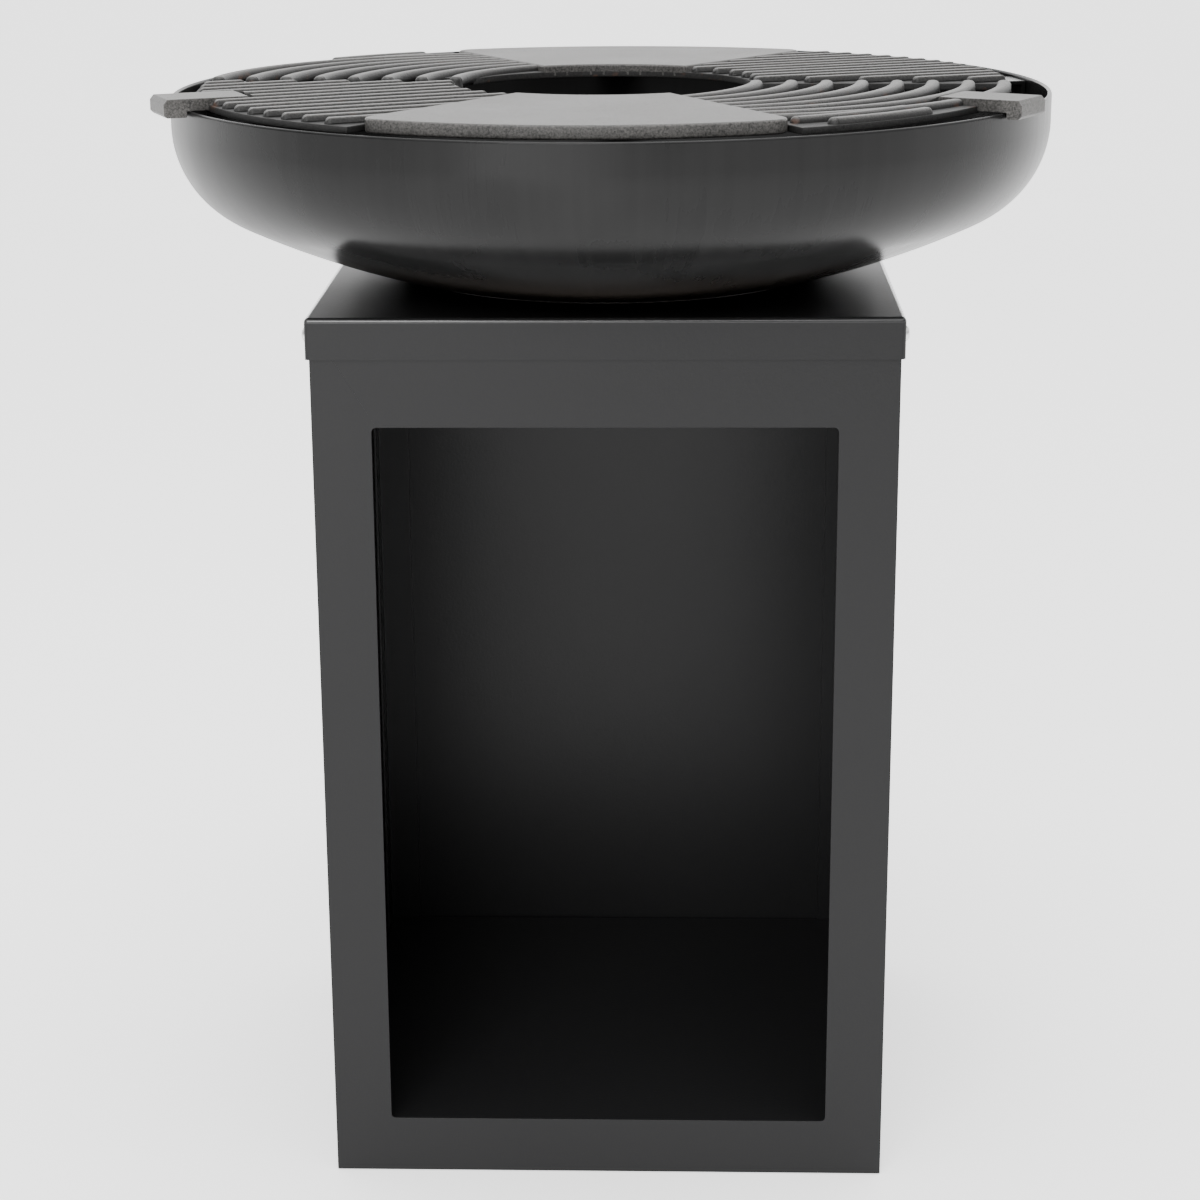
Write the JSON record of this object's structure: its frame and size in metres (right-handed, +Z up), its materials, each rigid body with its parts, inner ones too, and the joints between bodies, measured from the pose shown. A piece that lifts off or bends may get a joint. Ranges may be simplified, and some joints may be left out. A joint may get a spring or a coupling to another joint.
{
  "type": "fire pit with grate",
  "caption": "Dished round steel fire bowl on a square sheet-steel log store, with a half-ring cast-iron cooking grate over it.",
  "frame": {"origin": "on the ground, under the middle of the pedestal", "axes": "+Z up; -Y out of the open front of the log store; +X to the viewer's right when facing that front"},
  "size_m": [0.6, 0.6, 0.7363],
  "materials": {
    "powder_coat": "fine matt charcoal powder coat on sheet steel",
    "bowl_steel": "satin black heat-resistant paint on steel",
    "cast_iron": "dry as-cast iron, fine grain",
    "zinc_plate": "bright zinc plate"
  },
  "bodies": {
    "pedestal": {"front_panel": "powder_coat", "back_panel": "powder_coat", "left_panel": "powder_coat", "right_panel": "powder_coat", "corner_angle_front_left": "powder_coat", "corner_angle_rear_left": "powder_coat", "corner_angle_front_right": "powder_coat", "corner_angle_rear_right": "powder_coat", "log_shelf": "powder_coat", "top_cap": "powder_coat", "cap_screw_front_left": "zinc_plate", "cap_screw_rear_left": "zinc_plate", "cap_screw_front_right": "zinc_plate", "cap_screw_rear_right": "zinc_plate", "cap_nut_front_left": "zinc_plate", "cap_nut_rear_left": "zinc_plate", "cap_nut_front_right": "zinc_plate", "cap_nut_rear_right": "zinc_plate"},
    "fire_bowl": {"bowl": "bowl_steel", "grate_rest_left": "bowl_steel", "grate_rest_rear": "bowl_steel", "grate_rest_right": "bowl_steel"},
    "front_grate": {"front_casting": "cast_iron"},
    "back_grate": {"back_casting": "cast_iron"}
  },
  "joints": [
    {"name": "bowl_lift", "type": "slide", "parent": "pedestal", "child": "fire_bowl", "axis": [0, 0, 1], "range_m": [0, 0.15]},
    {"name": "front_grate_lift", "type": "slide", "parent": "fire_bowl", "child": "front_grate", "axis": [0, 0, 1], "range_m": [0, 0.1]},
    {"name": "back_grate_lift", "type": "slide", "parent": "fire_bowl", "child": "back_grate", "axis": [0, 0, 1], "range_m": [0, 0.1]}
  ]
}
